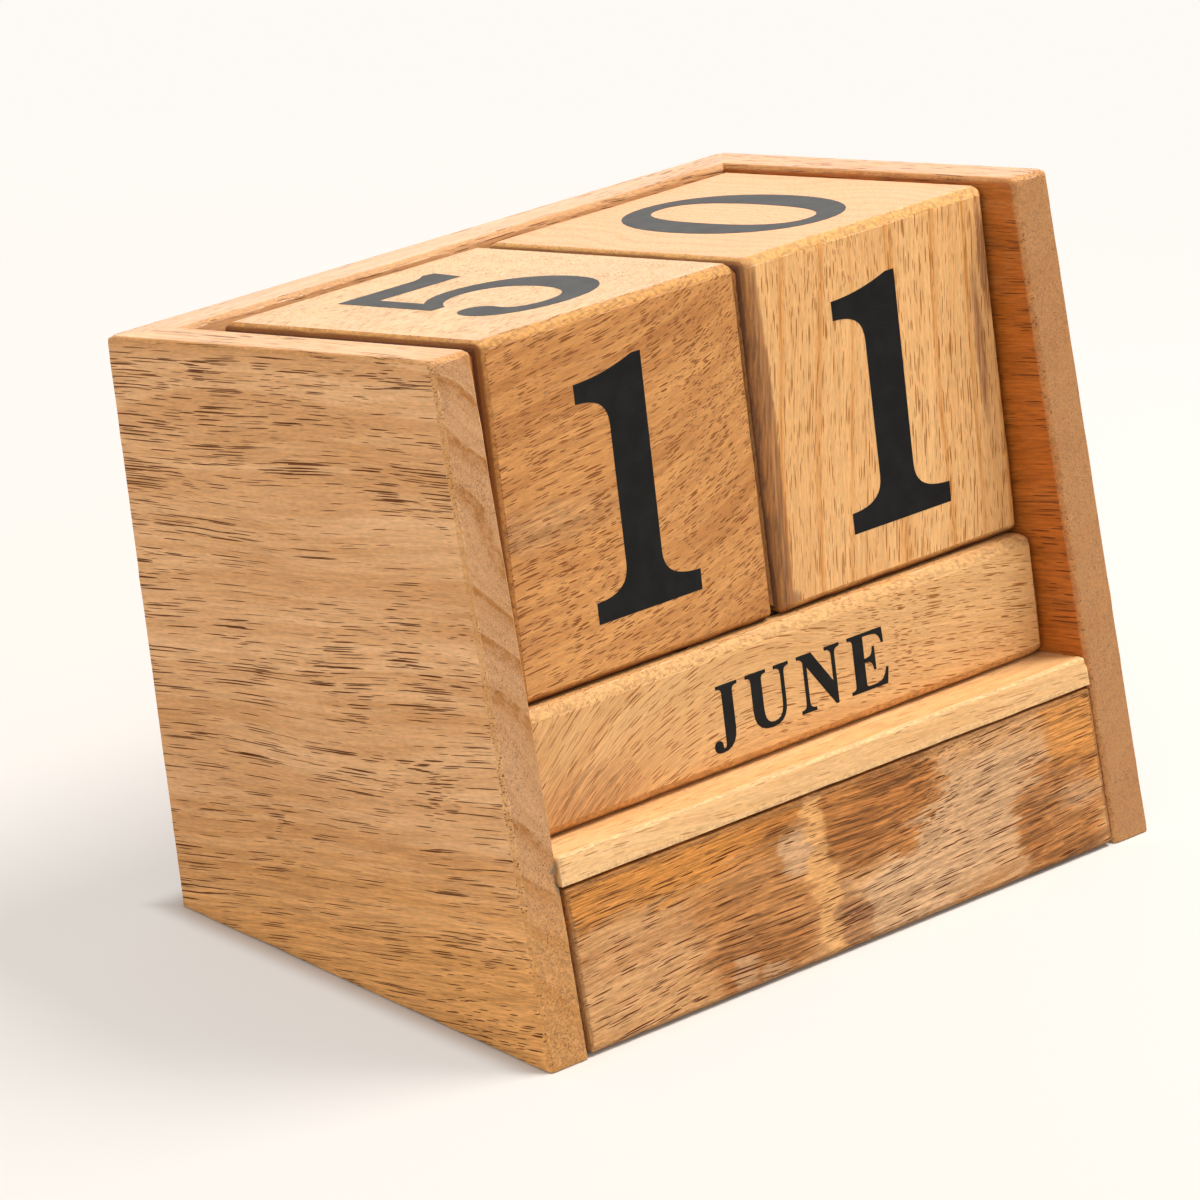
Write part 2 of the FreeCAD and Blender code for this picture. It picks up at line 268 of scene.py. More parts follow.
# %% [markdown]
# ## Tones and growth rings
# The tone changes slowly over a board, faster from streak to streak, and finest of all from
# fibre to fibre.  Growth rings are a saw-tooth across the fibres: each year fades in and
# ends sharply.  On a sawn end the rings show as close lines and the streaks all but vanish.

# %% Tones
def tones(tree, grain, streak):
    """Slow, streaky, hair-fine and fleck-sized noise, each from 0 to 1."""
    kinds = (((0.010, 0.05, 0.09), 2.0, 0.36, 0.62),
             ((0.035 / streak, 0.5 / streak, 1.0 / streak), 3.0, 0.36, 0.62),
             ((0.16, 2.6, 3.6), 2.0, 0.34, 0.64),
             ((0.8, 3.2, 4.2), 2.0, 0.34, 0.66))
    return [tree.step(tree.noise(grain, stretch, detail), low, high)
            for stretch, detail, low, high in kinds]


def growth(tree, grain, ring, late=0.45):
    """A saw-tooth across the fibres, one tooth for each ring, that starts late in the year."""
    swell = tree.times(tree.noise(grain, (0.008, 0.03, 0.05), 1.0), 17.6 / ring)
    year = tree.times(tree.add("SeparateXYZ", out=2, Vector=grain), 1 / ring)
    year = tree.sum("FRACT", tree.plus(year, swell))
    fades_in = tree.step(year, late, 0.93)
    ends = tree.minus(1.0, tree.step(year, 0.93, 1.0))
    return tree.times(fades_in, ends)


# %% [markdown]
# ## Stains and painted shade
# Damp and fungus leave patches with ragged borders that run out along the fibres.  Each is
# an ellipsoid in the maker's square: a noise makes its border wander and another one frays
# it.  Inside a patch the colour goes on being streaky.  Some patches are not stains but
# painted shade and painted shadows.

# %% Stains
def stain_and_shade_patches(tree, colour, square, grain, streaks, patches, ragged):
    """patches: (centre, radii, colour, strength, softness, streaky); ragged: how much borders wander."""
    wander = tree.vector("SUBTRACT", tree.noise(square, (0.16, 0.16, 0.35), 5.0, out=1), (0.5, 0.5, 0.5))
    blot = tree.vector("ADD", square, tree.vector("MULTIPLY", wander, [ragged * r for r in (9.0, 3.0, 6.0)]))
    fray = tree.minus(tree.noise(grain, (0.12, 0.9, 1.8), 3.0), 0.5)
    for middle, radii, stain, strength, soft, streaky in patches:
        near = tree.vector("DIVIDE", tree.vector("SUBTRACT", blot, middle), radii)
        near = tree.add("VectorMath", {"operation": "LENGTH"}, out=1, in0=near)
        near = tree.plus(near, tree.times(fray, 1.2 * ragged))
        near = tree.minus(1.0, tree.step(near, 1.0 - soft, 1.0 + soft))
        if streaky:
            lift = tree.plus(tree.times(streaks, streaky), 1.0)
            stain = tree.mix(1.0, stain, lift, "MULTIPLY")
        colour = tree.mix(tree.times(near, strength), colour, stain)
    return colour


# %% [markdown]
# ## Pores
# The wood's open vessels show as short dark dashes.  A Voronoi pattern with long thin cells
# makes them: a dash is drawn around each cell's point, and its size changes from cell to
# cell.  Three such patterns give short, middling and long dashes.  Because the cells lie in
# space, a sawn end shows the same vessels as dots.

# %% Pores
def pore_dashes(tree, grain, length, width, size, crowding):
    crowd = tree.step(tree.noise(grain, (0.02, 0.12, 0.25), 2.0), 0.34, 0.6)
    crowd = tree.times(tree.plus(tree.times(crowd, crowding), 1.0 - crowding), size)
    pore = None
    families = ((1.0, 1.0, 1.0), (0.62, 0.85, 0.95), (2.9, 1.15, 0.62))
    for number, (longer, wider, larger) in enumerate(families):
        cells = tree.tree.nodes.new("ShaderNodeTexVoronoi")
        shape = (1 / (longer * length), 1 / (wider * width), 1 / (wider * width))
        place = tree.vector("ADD", grain, (number * 37.0,) * 3)
        tree.wire(cells.inputs["Vector"], tree.vector("MULTIPLY", place, shape))
        tree.wire(cells.inputs["Scale"], 1.0)
        chance = tree.add("SeparateColor", Color=cells.outputs["Color"])
        reach = tree.times(tree.plus(tree.times(chance, 0.75), 0.25), tree.times(crowd, larger))
        away = tree.minus(cells.outputs["Distance"], reach)
        dash = tree.times(tree.minus(1.0, tree.step(away, -0.06, 0.02)),
                          tree.plus(tree.times(chance, 0.35), 0.65))
        pore = tree.sum("MAXIMUM", pore, dash) if pore else dash
    return pore


# %% [markdown]
# ## Worn rims and painted gap shade
# Along its edges a board is rubbed through to rougher, more orange wood.  The modelling
# steps below mark the edges on the mesh, and a gritty noise breaks the mark up.  A second
# mark tells which edges face a narrow gap: those are painted dark, as painted shade for
# the shadow in the gap.

# %% Rims
def worn_rim(tree, square, edge):
    """How worn the surface is, the worn wood's colour with painted shade where a rim faces a gap, the gap
    mark and the grit.
    """
    grit = tree.noise(square, (1.3, 1.3, 1.3), 5.0)
    rubbed = tree.add("Attribute", {"attribute_name": "edge"}, out=2)
    rim = tree.step(tree.plus(rubbed, tree.times(grit, 0.7)), 0.85, 1.25)
    gap = tree.add("Attribute", {"attribute_name": "gap"}, out=2)
    rim_wear_and_shade = tree.mix(tree.step(grit, 0.35, 0.65), tuple(c * 0.58 for c in edge), edge)
    # painted shade: rims that face a narrow gap go dark brown, and nearly black where they look straight into
    # it
    rim_wear_and_shade = tree.mix(tree.step(gap, 0.2, 0.7), rim_wear_and_shade, tuple(c * k for c, k in zip(edge, (0.36, 0.26, 0.17))))
    rim_wear_and_shade = tree.mix(tree.step(gap, 0.85, 1.0), rim_wear_and_shade, tuple(c * k for c, k in zip(edge, (0.13, 0.08, 0.05))))
    return rim, rim_wear_and_shade, gap, grit


# %% [markdown]
# ## The wood finish
# One function puts the layers together, so that every board is the same kind of wood with
# its own tone, fibres and stains.  The tops of the cubes get a tone of their own, which is
# painted light and shade: paler on the tens cube and darker on the units cube, for how the
# light falls on the tops.

# %% Wood finish
def wood(name, light, dark, turn=(0, 0, 0), centre=(0, 0, 0), bow=0.0, bow_from=0.0, dive=0.0,
         streak=0.9, streaks=0.5, hairs=0.14,
         ring=8.0, late=0.45, rings=0.3, end_rings=1.2, ring_colour=(0.50, 0.20, 0.045),
         pore_length=13.0, pore_width=0.4, pore_size=0.33, crowding=0.35, pores=1.0,
         pore_colour=(0.15, 0.034, 0.0), end=(0.76, 0.73, 0.70), edge=(0.60, 0.29, 0.085), worn=0.6,
         gloss=0.42, shine=0.5, patches=(), shadow_patches=(), ragged=1.0, painted_top_tone=(0.6, 0.4, 0.15), painted_top_share=0.0):
    """Lengths are millimetres and tones linear colours; the last patches, which cover the rims too, are
    painted shadows, and the top tone is painted light and shade on upward faces.
    """
    material, tree = start_material(name)
    square, grain = fibre_space(tree, turn, centre, bow, bow_from, dive)
    fibres = Euler([math.radians(angle) for angle in turn]).to_matrix() @ Vector((1, 0, 0))
    across = facing(tree, fibres, 0.75, 0.95, True)
    slow, fine, hair, fleck = tones(tree, grain, streak)
    rim, rim_wear_and_shade, gap, grit = worn_rim(tree, square, edge)

    tone = tree.plus(tree.times(slow, 1.0 - streaks), tree.times(fine, streaks))
    tone = tree.add("Mix", in0=tree.times(across, 0.7), in2=tone, in3=0.5)
    colour = tree.mix(tone, dark, light)
    patchy = tree.plus(tree.times(fine, 0.7), 0.3)
    year = tree.times(growth(tree, grain, ring, late), patchy)
    year = tree.times(year, tree.plus(tree.times(across, end_rings), 1.0))
    lines = tree.times(growth(tree, grain, ring * 0.3), tree.times(across, 0.5))
    colour = tree.mix(tree.times(tree.plus(year, lines), rings), colour, ring_colour)
    shade = tree.minus(tree.plus(hair, fine), 1.0)
    colour = stain_and_shade_patches(tree, colour, square, grain, shade, patches, ragged)
    hairy = tree.plus(tree.times(tree.plus(hair, fleck), hairs), 1.0 - hairs)
    colour = tree.mix(1.0, colour, hairy, "MULTIPLY")

    pore = pore_dashes(tree, grain, pore_length, pore_width, pore_size, crowding)
    pore = tree.times(pore, tree.minus(1.0, tree.times(across, 0.5)))
    colour = tree.mix(tree.times(pore, pores), colour, pore_colour)
    specks = tree.times(tree.step(grit, 0.5, 0.66), 0.35)
    end = tree.mix(specks, end, tuple(c * 0.6 for c in end))
    colour = tree.mix(across, colour, tree.mix(1.0, colour, end, "MULTIPLY"))
    # painted light and shade on the tops: upward faces are tinted towards a tone set for how the light falls
    # there
    if painted_top_share:
        upward = facing(tree, (0, 0, 1), 0.7, 0.95)
        colour = tree.mix(tree.times(upward, painted_top_share), colour, painted_top_tone)
    # where the gap mark is set, the rim colour with its painted shade goes on in full
    strength = tree.sum("MAXIMUM", tree.step(gap, 0.1, 0.6), worn)
    colour = tree.mix(tree.times(rim, strength), colour, rim_wear_and_shade)
    # painted shadows, laid over the rims too
    colour = stain_and_shade_patches(tree, colour, square, grain, shade, shadow_patches, ragged)

    height = tree.plus(tree.times(pore, -1.0), tree.times(hair, 0.2))
    height = tree.plus(height, tree.times(tree.times(grit, rim), 1.8))
    bump = tree.add("Bump", Strength=0.7, Distance=0.12 * MM, Height=height)
    rough = tree.plus(tree.times(hair, 0.12), gloss - 0.06)
    rough = tree.plus(rough, tree.times(tree.sum("MAXIMUM", rim, pore), 0.3))
    tree.add("OutputMaterial", Surface=tree.add(
        "BsdfPrincipled", Base_Color=colour, Roughness=rough, Specular_IOR_Level=shine, Normal=bump))
    return material


# %% [markdown]
# ## Drawing a board
# Every board and block here has four-cornered ends and is straight from left to right.  A
# cube is added and its corners are moved to the board's.  Cuts then divide its faces into
# cells, with a narrow row beside each edge, so that the edges can be rounded and worn
# without bending the flat faces.

# %% Select by place or normal
def pick(piece, kind, test):
    """Select the vertices, edges or faces of a piece that pass a test, and start to edit."""
    bpy.ops.object.mode_set(mode="EDIT")
    bpy.ops.mesh.select_mode(type=kind)
    bpy.ops.mesh.select_all(action="DESELECT")
    bpy.ops.object.mode_set(mode="OBJECT")
    mesh = piece.data
    items = {"VERT": mesh.vertices, "EDGE": mesh.edges, "FACE": mesh.polygons}[kind]
    for item in items:
        item.select = test(item)
    bpy.ops.object.mode_set(mode="EDIT")


def slice_all(point, normal, **options):
    bpy.ops.mesh.select_all(action="SELECT")
    bpy.ops.mesh.bisect(plane_co=point, plane_no=Vector(normal).normalized(), threshold=0.001 * MM, **options)


def cuts(length, cell, rim):
    """Where a side of some length is cut: near both ends, and evenly between."""
    count = max(1, round((length - 2 * rim) / cell))
    return [(rim + (length - 2 * rim) * k / count) / length for k in range(count + 1)]


# %% A board from its end's outline
def draw_board(name, left, right, profile, cell=3.0, rim=1.4):
    """profile: its end's corners as (rearward, up): front foot, rear foot, rear top, front top."""
    corners = [Vector((0, back * MM, up * MM)) for back, up in profile]
    bpy.ops.object.select_all(action="DESELECT")
    bpy.ops.mesh.primitive_cube_add(size=1, location=((left + right) / 2 * MM, 0, 0),
                                    scale=((right - left) * MM, 1, 1))
    bpy.ops.object.transform_apply(location=True, rotation=True, scale=True)
    piece = bpy.context.active_object
    piece.name = piece.data.name = name
    for (back, up), corner in zip(((-1, -1), (1, -1), (1, 1), (-1, 1)), corners):
        pick(piece, "VERT", lambda v: v.co.y == back * 0.5 and v.co.z == up * 0.5)
        bpy.ops.transform.translate(value=corner - Vector((0, back * 0.5, up * 0.5)))
    front_foot, rear_foot, rear_top, front_top = corners
    for t in cuts((rear_foot - front_foot).length / MM, cell, rim):
        low, high = front_foot.lerp(rear_foot, t), front_top.lerp(rear_top, t)
        slice_all(low, Vector((1, 0, 0)).cross(high - low))
    for t in cuts((front_top - front_foot).length / MM, cell, rim):
        near, far = front_foot.lerp(front_top, t), rear_foot.lerp(rear_top, t)
        slice_all(near, Vector((1, 0, 0)).cross(far - near))
    for t in cuts(right - left, cell, rim):
        slice_all(Vector(((left + (right - left) * t) * MM, 0, 0)), (1, 0, 0))
    bpy.ops.object.mode_set(mode="OBJECT")
    return piece


# %% [markdown]
# ## Worn edges
# Sanding rounds an edge, and handling wears it unevenly.  The edges are bevelled in a few
# steps, and a cloud pattern then pushes the rounded strip inwards a little, more here and
# less there.  The strip is also marked on the mesh, so that the finish knows where it is.

# %% Round and wear edges
def round_edges(piece, width, steps=4, stays_sharp=None):
    bpy.ops.object.mode_set(mode="EDIT")
    bpy.ops.mesh.select_mode(type="EDGE")
    bpy.ops.mesh.select_all(action="DESELECT")
    bpy.ops.mesh.edges_select_sharp(sharpness=math.radians(40))
    if stays_sharp:
        bpy.ops.object.mode_set(mode="OBJECT")
        points = piece.data.vertices
        for edge in piece.data.edges:
            if edge.select and all(stays_sharp(points[i].co / MM) for i in edge.vertices):
                edge.select = False
        bpy.ops.object.mode_set(mode="EDIT")
    bpy.ops.mesh.bevel(offset=width * MM, segments=steps, profile=0.5)
    bpy.ops.object.mode_set(mode="OBJECT")


def main_ways(piece):
    """The directions that the piece's large flat faces look in."""
    areas = {}
    for face in piece.data.polygons:
        way = tuple(round(c, 2) for c in face.normal)
        areas[way] = areas.get(way, 0) + face.area
    whole = sum(areas.values())
    return [Vector(way).normalized() for way, area in areas.items() if area > 0.015 * whole]


def wear_edges(piece, depth, patch, side_shade=0.0):
    """Push the rounded strips in by up to depth, in patches, and mark them for the finish, with a gap mark
    for painted shade on rims that look sideways or down.
    """
    ways = main_ways(piece)
    points = piece.data.vertices
    worn = {v.index for v in points if max(v.normal.dot(way) for way in ways) < 0.985}
    beside = {i for edge in piece.data.edges for i in edge.vertices if worn & set(edge.vertices)} - worn
    marked = worn | beside
    # rim points that look sideways or down get the gap mark: how much painted shade the finish lays there
    gaps = [side_shade * max(abs(v.normal.x), -v.normal.z, 0.0) if v.index in marked else 0.0
            for v in points]
    group = piece.vertex_groups.new(name="worn")
    group.add(list(worn), 1.0, "ADD")
    edge = piece.data.attributes.new("edge", "FLOAT", "POINT")
    edge.data.foreach_set("value", [1.0 if i in worn else 0.5 + gap / 2 if i in beside else 0.0
                                    for i, gap in enumerate(gaps)])
    piece.data.attributes.new("gap", "FLOAT", "POINT").data.foreach_set("value", gaps)
    clouds = bpy.data.textures.new(piece.name + "_wear", "CLOUDS")
    clouds.noise_scale = patch * MM
    modifier = piece.modifiers.new("wear", "DISPLACE")
    modifier.texture, modifier.vertex_group = clouds, "worn"
    modifier.mid_level, modifier.strength = 1.0, depth * MM
    bpy.ops.object.modifier_apply(modifier="wear")
    piece.vertex_groups.clear()
    print(piece.name, "has", len(worn), "worn points of", len(points))


# %% Finish a piece
def finish_piece(piece, body, node, finish, leans=True):
    """Lean the piece back into place, shade it, and let it stand for its node."""
    piece.rotation_euler = (-LEAN if leans else 0, 0, 0)
    piece.location = TOE
    bpy.ops.object.transform_apply(location=True, rotation=True, scale=True)
    bpy.ops.object.shade_smooth_by_angle(angle=math.radians(32))
    piece.data.materials.clear()
    piece.data.materials.append(finish)
    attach(piece, body)
    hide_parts(node)
    low, high = (Vector(f(v.co[i] for v in piece.data.vertices) for i in range(3)) for f in (min, max))
    print(piece.name, [round(v, 2) for v in (low / MM)], [round(v, 2) for v in (high / MM)])


# %% [markdown]
# ## The case
# The sides and the back are one thickness and meet in mitres at the rear corners.  The
# sides' front edges lean back more than the case does, and the feet are cut level, so
# that they stay sharp where they meet the desk.

# %% Side boards
def on_foot(point):
    return abs(point.z - point.y * math.tan(LEAN)) < 0.01


CHIP = 25.2                        # a corner is chipped away beside the shelf's end


def carve(piece, tool):
    """Cut a tool's shape out of a piece."""
    bpy.ops.object.select_all(action="DESELECT")
    piece.select_set(True)
    bpy.context.view_layer.objects.active = piece
    cut = piece.modifiers.new("cut", "BOOLEAN")
    cut.object, cut.solver = tool, "EXACT"
    bpy.ops.object.modifier_apply(modifier="cut")
    bpy.data.objects.remove(tool)


def side_board(name, side, finish):
    outer, inner = side * CASE_WIDTH / 2, side * INNER_WIDTH / 2
    piece = draw_board(name, min(outer, inner), max(outer, inner), [
        (0, 0), (CASE_DEPTH, CASE_DEPTH * math.tan(LEAN)),
        (CASE_DEPTH, CASE_HEIGHT), (CASE_HEIGHT * math.tan(DRAFT), CASE_HEIGHT)])
    round_edges(piece, BOARD_EASE, 3, on_foot)
    wear_edges(piece, 0.35, 5.0)
    pick(piece, "FACE", lambda face: True)
    slice_all(Vector((inner, INNER_REAR, 0)) * MM, (-side, 1, 0), use_fill=True, clear_outer=True)
    bpy.ops.object.mode_set(mode="OBJECT")
    if side < 0:
        bpy.ops.object.select_all(action="DESELECT")
        bpy.ops.mesh.primitive_ico_sphere_add(
            subdivisions=2, radius=MM, scale=(1.1, 2.2, 2.0), rotation=(0.5, 0.3, 0.4),
            location=Vector((inner, CHIP * math.tan(DRAFT), CHIP)) * MM)
        carve(piece, bpy.context.active_object)
    finish_piece(piece, "case", name + "_panel", finish)


side_board("left_side", -1, wood(
    "left_side_wood", (0.80, 0.455, 0.218), (0.61, 0.295, 0.108), turn=(50, 0.5, 90), centre=(-57, 35, 40),
    pore_length=17, pore_width=0.32, pore_size=0.39, pore_colour=(0.11, 0.025, 0.0), crowding=0.55,
    ring=6, rings=0.45, shine=0.25, end=(0.75, 0.755, 0.80), worn=0.4, ragged=0.6, patches=(
        ((-57, 35, 0), (20, 90, 24), (0.70, 0.325, 0.09), 0.75, 0.5, 0.2),
        ((-53.2, 1.5, 25), (1.6, 3.0, 2.3), (0.26, 0.17, 0.10), 0.9, 0.3, 0.0))))
side_board("right_side", 1, wood(
    "right_side_wood", (0.66, 0.34, 0.135), (0.52, 0.23, 0.07), turn=(-40, 2, 90), centre=(57, 20, 60),
    rings=0.1, worn=0.4, ragged=0.1, patches=(
        # painted shade: a thin slab at the inner face of the right side darkens it to the deep orange of the
        # shade inside the case
        ((52.6, 35, 50), (1.7, 90, 90), (0.39, 0.098, 0.005), 0.92, 0.3, 0.2),)))

# %% Back board
back = draw_board("back", -CASE_WIDTH / 2, CASE_WIDTH / 2, [
    (INNER_REAR, INNER_REAR * math.tan(LEAN)), (CASE_DEPTH, CASE_DEPTH * math.tan(LEAN)),
    (CASE_DEPTH, CASE_HEIGHT), (INNER_REAR, CASE_HEIGHT)])
round_edges(back, BOARD_EASE, 3, on_foot)
wear_edges(back, 0.35, 5.0)
pick(back, "FACE", lambda face: True)
for side in (-1, 1):
    corner = Vector((side * INNER_WIDTH / 2, INNER_REAR, 0)) * MM
    slice_all(corner, (side, -1, 0), use_fill=True, clear_outer=True)
bpy.ops.object.mode_set(mode="OBJECT")
finish_piece(back, "case", "back_panel", wood(
    "back_wood", (0.66, 0.37, 0.175), (0.50, 0.24, 0.09), turn=(30, 2, 0), centre=(20, 65, 50), worn=0.4))

# %% [markdown]
# ## Shelf
# The shelf carries the month bars.  Its front edge is planed flush with the slanted front
# of the case, and only the edge under the bars' faces is eased.

# %% Shelf
shelf = draw_board("shelf_board", -INNER_WIDTH / 2, INNER_WIDTH / 2, [
    (SHELF_UNDER * math.tan(DRAFT), SHELF_UNDER), (INNER_REAR, SHELF_UNDER),
    (INNER_REAR, SHELF_TOP), (SHELF_TOP * math.tan(DRAFT), SHELF_TOP)], rim=1.0)
round_edges(shelf, 0.55, 3, lambda p: p.z < SHELF_TOP - 0.1 or p.y > 3)
wear_edges(shelf, 0.2, 4.0)
finish_piece(shelf, "case", "shelf", wood(
    "shelf_wood", (0.84, 0.52, 0.24), (0.74, 0.41, 0.16), turn=(0, 2, 0), centre=(-10, 0, 25),
    pore_length=9, pore_width=0.45, pores=0.75, pore_colour=(0.46, 0.19, 0.05), rings=0.1,
    end=(1, 1, 1), edge=(0.88, 0.56, 0.26)))

# %% [markdown]
# ## Drawer front
# The drawer front is a level board with slanted faces.  A shallow groove under its rear
# edge gives a finger something to pull.  Its wood is spalted: fungus has left it mottled
# from pale grey to rust and dark brown.

# %% Drawer front
SEAM = 0.35                        # drawer front to the case around it
FOOT = 0.5                         # drawer front to the desk
THICKNESS = 8.0
GROOVE_RADIUS, GROOVE_WIDTH = 4.5, 40
FRONT_SLOPE = math.tan(LEAN + DRAFT)
FRONT_RUN = THICKNESS / math.cos(LEAN + DRAFT)
CEILING = (SHELF_UNDER - SEAM) / math.cos(LEAN)
SLOPES = 1 + FRONT_SLOPE * math.tan(LEAN)
top_front = CEILING / SLOPES
top_rear = (CEILING - FRONT_RUN * math.tan(LEAN)) / SLOPES
drawer = draw_board("drawer_face", -INNER_WIDTH / 2 + SEAM, INNER_WIDTH / 2 - SEAM, [
    (FOOT * FRONT_SLOPE, FOOT), (FOOT * FRONT_SLOPE + FRONT_RUN, FOOT),
    (top_rear * FRONT_SLOPE + FRONT_RUN, top_rear), (top_front * FRONT_SLOPE, top_front)], rim=0.9)
round_edges(drawer, 0.3, 2)
wear_edges(drawer, 0.15, 4.0)

# %% Finger groove
bpy.ops.object.select_all(action="DESELECT")
bpy.ops.mesh.primitive_cylinder_add(
    vertices=48, radius=GROOVE_RADIUS * MM, depth=GROOVE_WIDTH * MM, rotation=(0, math.pi / 2, 0),
    location=Vector((0, FOOT * FRONT_SLOPE + FRONT_RUN, FOOT)) * MM)
carve(drawer, bpy.context.active_object)


# %% Spalted wood
RUST = (0.38, 0.146, 0.036)
GOLD = (0.53, 0.21, 0.042)
STRAW = (0.68, 0.35, 0.125)
ASH = (0.56, 0.335, 0.175)
UMBER = (0.26, 0.090, 0.020)


def stain(x, down, half_width, half_height, colour, strength, soft=0.25, streaky=0.0):
    """A patch on the drawer front, from its left end and down from its top edge."""
    middle = (x - INNER_WIDTH / 2, 2.0, SHELF_UNDER - down)
    return middle, (half_width, 30.0, half_height), colour, strength, soft, streaky


finish_piece(drawer, "drawer", "drawer_front", wood(
    "spalted_wood", (0.64, 0.34, 0.137), (0.46, 0.20, 0.061), turn=(0, -2, 0), centre=(0, 0, 10),
    streak=0.6, hairs=0.22, rings=0.1, shine=0.2, edge=(0.30, 0.14, 0.05), crowding=0.3,
    pore_length=11, pore_width=0.31, pore_size=0.39, pore_colour=(0.11, 0.024, 0.0), patches=(
        stain(11, 14, 14, 8, ASH, 0.22, 0.4, 0.2), stain(80, 12, 20, 9, ASH, 0.8, 0.4, 0.2),
        stain(61, 20, 14, 6, ASH, 0.85, 0.2, 0.3),
        stain(35, 13, 12, 13, RUST, 0.6, 0.2, 0.4), stain(34, 19, 11, 4, UMBER, 0.6, 0.3, 0.6),
        stain(31, 20, 2.5, 2, ASH, 0.6, 0.3), stain(37, 22, 3, 1.5, ASH, 0.6, 0.3),
        stain(18, 0, 34, 6.5, GOLD, 0.95, 0.2, 0.3), stain(43, 2, 8, 4, UMBER, 0.45, 0.4, 0.6),
        stain(60, 2, 12, 11, RUST, 0.95, 0.1, 0.5), stain(69, 5, 5, 4, RUST, 0.9, 0.12, 0.5),
        stain(64, 5, 7, 3, UMBER, 0.45, 0.3, 0.7), stain(55, 9, 6, 4, UMBER, 0.55, 0.3, 0.7),
        stain(53, 20, 4, 5, UMBER, 0.65, 0.2, 0.6), stain(44, 7.5, 3.5, 3.5, ASH, 0.8, 0.2, 0.2),
        stain(48.3, 12, 2.1, 26, STRAW, 0.85, 0.4, 0.1), stain(103, 5, 7, 8, GOLD, 0.8, 0.12, 0.4),
        stain(97, 16, 10, 8, RUST, 0.85, 0.1, 0.5), stain(91, 17, 3, 4, UMBER, 0.55, 0.3, 0.6),
        stain(102, 14, 4, 2.5, ASH, 0.5, 0.5), stain(98, 23, 9, 3, UMBER, 0.6, 0.4, 0.5))), leans=False)

# %% [markdown]
# ## Day cubes and month bars
# The loose blocks are sawn square and sanded round.  Each wears most on its outer edges.
# Where an edge faces a narrow gap, it is darkened with painted shade: more on the cubes than
# on the bars.

# %% Blocks
def block(name, left, front, seat, section, length, ease, gap_shade, body, node, finish):
    """A square block: its left end, front and underside, and how much painted shade darkens its edges in the
    gaps.
    """
    piece = draw_board(name, left, left + length, [
        (front, seat), (front + section, seat), (front + section, seat + section), (front, seat + section)],
        cell=2.5, rim=ease + 0.6)
    round_edges(piece, ease, 5)
    wear_edges(piece, 0.5, 2.2, gap_shade)
    finish_piece(piece, body, node, finish)


tens_wood = wood(
    "tens_cube_wood", (0.66, 0.31, 0.093), (0.455, 0.18, 0.043), turn=(0, -8, 5), centre=(-20, 10, 70),
    bow=0.005, bow_from=-6, dive=0.15, streak=1.1, streaks=0.6, rings=0.2, end_rings=0,
    pore_length=8, pore_width=0.32, pore_size=0.40, crowding=0.1, pores=0.95,
    pore_colour=(0.23, 0.062, 0.0), end=(1, 1, 1), edge=(0.70, 0.34, 0.085), worn=0.75, shine=0.4,
    # the top tone is painted light: the top is paler
    painted_top_tone=(0.80, 0.55, 0.28), painted_top_share=0.4, patches=(
        ((-42, 11, 68.5), (15, 12, 2.6), (0.46, 0.25, 0.105), 0.5, 0.6, 0.5),))
block("tens_cube", TENS_LEFT, CUBE_FRONT, CUBE_SEAT, CUBE, CUBE, CUBE_EASE, 1.0,
      "tens_cube", "day_cube_tens", tens_wood)
units_wood = wood(
    "units_cube_wood", (0.79, 0.445, 0.175), (0.70, 0.36, 0.125), turn=(0, -84, 0), centre=(28, 10, 70),
    streak=0.5, ring=7.5, late=0.76, rings=0.95, end_rings=-0.85, ring_colour=(0.58, 0.22, 0.03),
    pore_length=6.5, pore_width=0.34, pore_size=0.38, crowding=0.25,
    pore_colour=(0.38, 0.13, 0.012), end=(1, 1, 1), edge=(0.74, 0.38, 0.10), worn=0.75,
    # the top tone is painted shade: the top is darker and more orange
    painted_top_tone=(0.765, 0.24, 0.07), painted_top_share=0.4, ragged=0.1, patches=(
        ((51.2, 11, 86), (0.8, 12, 8), (0.32, 0.13, 0.055), 0.75, 0.4, 0.6),
        ((48.8, 11, 73), (0.9, 12, 10), (0.32, 0.13, 0.055), 0.75, 0.4, 0.6),
        ((5.5, 11, 47), (1.6, 5, 1.3), (0.25, 0.12, 0.05), 0.7, 0.4, 0.0)),
    # a painted shadow: the tens cube's shadow as a dark band along the units cube's left edge
    shadow_patches=(((4.7, 10, 69), (1.6, 5, 28), (0.30, 0.115, 0.028), 0.9, 0.2, 0.5),))
block("units_cube", UNITS_LEFT, CUBE_FRONT, CUBE_SEAT, CUBE, CUBE, CUBE_EASE, 1.0,
      "units_cube", "day_cube_units", units_wood)
bar_wood = wood(
    "bar_wood", (0.74, 0.42, 0.168), (0.64, 0.325, 0.113), turn=(0, 9, 0), centre=(0, 10, 35),
    bow=-0.010, bow_from=2, streak=0.5, rings=0.2, pore_length=6, pore_width=0.32, pore_size=0.38,
    crowding=0.3, pore_colour=(0.33, 0.105, 0.008), end=(1, 1, 1), edge=(0.74, 0.40, 0.14),
    worn=0.7, patches=(((-40, 8.5, 31), (9, 3, 4.5), (0.46, 0.21, 0.075), 0.5, 0.6, 0.6),))
for place, front in BAR_FRONTS.items():
    block("month_bar_" + place + "_block", -BAR_LENGTH / 2, front, BAR_SEAT, BAR, BAR_LENGTH,
          BAR_EASE, 0.45, place + "_bar", "month_bar_" + place, bar_wood)

# %% [markdown]
# ## Plain wood inside
# The base board and the drawer's box are plain, and their solids are right as they are.
# They only need a finish.

